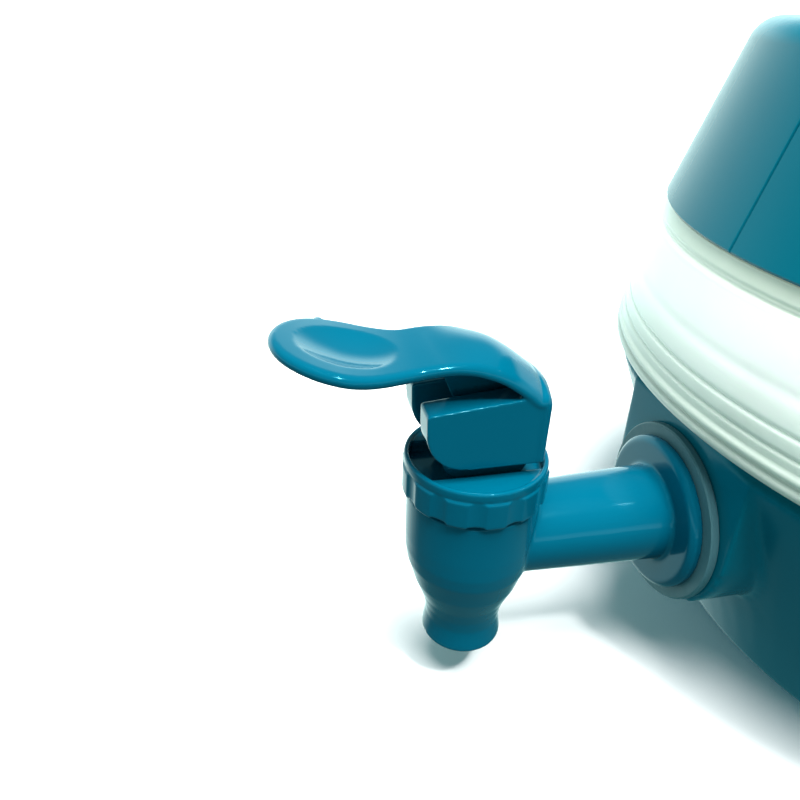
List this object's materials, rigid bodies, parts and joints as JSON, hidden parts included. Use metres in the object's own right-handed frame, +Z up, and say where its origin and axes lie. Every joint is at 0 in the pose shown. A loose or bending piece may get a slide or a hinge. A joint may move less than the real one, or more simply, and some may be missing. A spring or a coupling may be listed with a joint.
{
  "type": "collapsible water dispenser",
  "caption": "Collapsible countertop water dispenser: round base with a lever tap, folding translucent bellows, cover with screw cap, vent and carry handle.",
  "frame": {"origin": "on the table at the middle of the base's foot pad, on the axis of the bowl", "axes": "+Z up along the bowl's axis, -Y towards the tap, +X to the right as seen by someone who stands in front of the tap"},
  "size_m": [0.1908, 0.2681, 0.1523],
  "materials": {
    "teal_shell": "satin moulded polypropylene",
    "teal_tap": "glossy moulded plastic",
    "bellows_skin": "milky translucent soft plastic",
    "ring_plastic": "natural polypropylene",
    "foot_rubber": "matt non-slip",
    "grey_gasket": "matt translucent grey-green silicone",
    "white_silicone": "matt silicone",
    "white_plastic": "white acetal",
    "black_rubber": "matt",
    "steel": "drawn stainless wire"
  },
  "bodies": {
    "base": {"base_bowl": "teal_shell", "foot_pad": "foot_rubber", "lower_clamp_ring": "ring_plastic", "bellows": "bellows_skin", "tap_body": "teal_tap", "tap_gasket": "grey_gasket", "inner_washer": "white_silicone", "tap_nut": "white_plastic", "bonnet": "teal_tap", "seat_cup": "white_silicone", "valve_spring": "steel"},
    "cover": {"top_cover": "teal_shell", "filler_neck": "teal_shell", "upper_clamp_ring": "ring_plastic"},
    "handle": {"carry_handle": "teal_shell"},
    "cap": {"filler_cap": "teal_shell", "cap_gasket": "white_silicone"},
    "vent": {"vent_plug": "white_plastic", "vent_oring": "black_rubber"},
    "stem": {"valve_stem": "white_plastic", "lever_pin": "steel"},
    "lever": {"lever": "teal_tap"}
  },
  "joints": [
    {"name": "cover_lift", "type": "slide", "parent": "base", "child": "cover", "axis": [0, 0, 1], "range_m": [0, 0.06], "deforming": ["bellows"]},
    {"name": "handle_swing", "type": "hinge", "parent": "cover", "child": "handle", "pos_m": [0, 0, 0.1332], "axis": [1, 0, 0], "range_deg": [0, 180]},
    {"name": "cap_turn", "type": "hinge", "parent": "cover", "child": "cap", "pos_m": [0, 0, 0.14], "axis": [0, 0, 1], "range_deg": [0, 60]},
    {"name": "vent_pull", "type": "slide", "parent": "cap", "child": "vent", "axis": [0, 0, 1], "range_m": [0, 0.004]},
    {"name": "stem_lift", "type": "slide", "parent": "base", "child": "stem", "axis": [0, 0, 1], "range_m": [0, 0.00259], "stiffness_N_per_m": 250, "springref_m": -0.0016, "deforming": ["seat_cup", "valve_spring"]},
    {"name": "lever_press", "type": "hinge", "parent": "stem", "child": "lever", "pos_m": [0, -0.1354, 0.0632], "axis": [1, 0, 0], "range_deg": [0, 28]}
  ],
  "couplings": [
    {"joint": "lever_press", "follows": "stem_lift", "rad_per_m": 188.68}
  ]
}
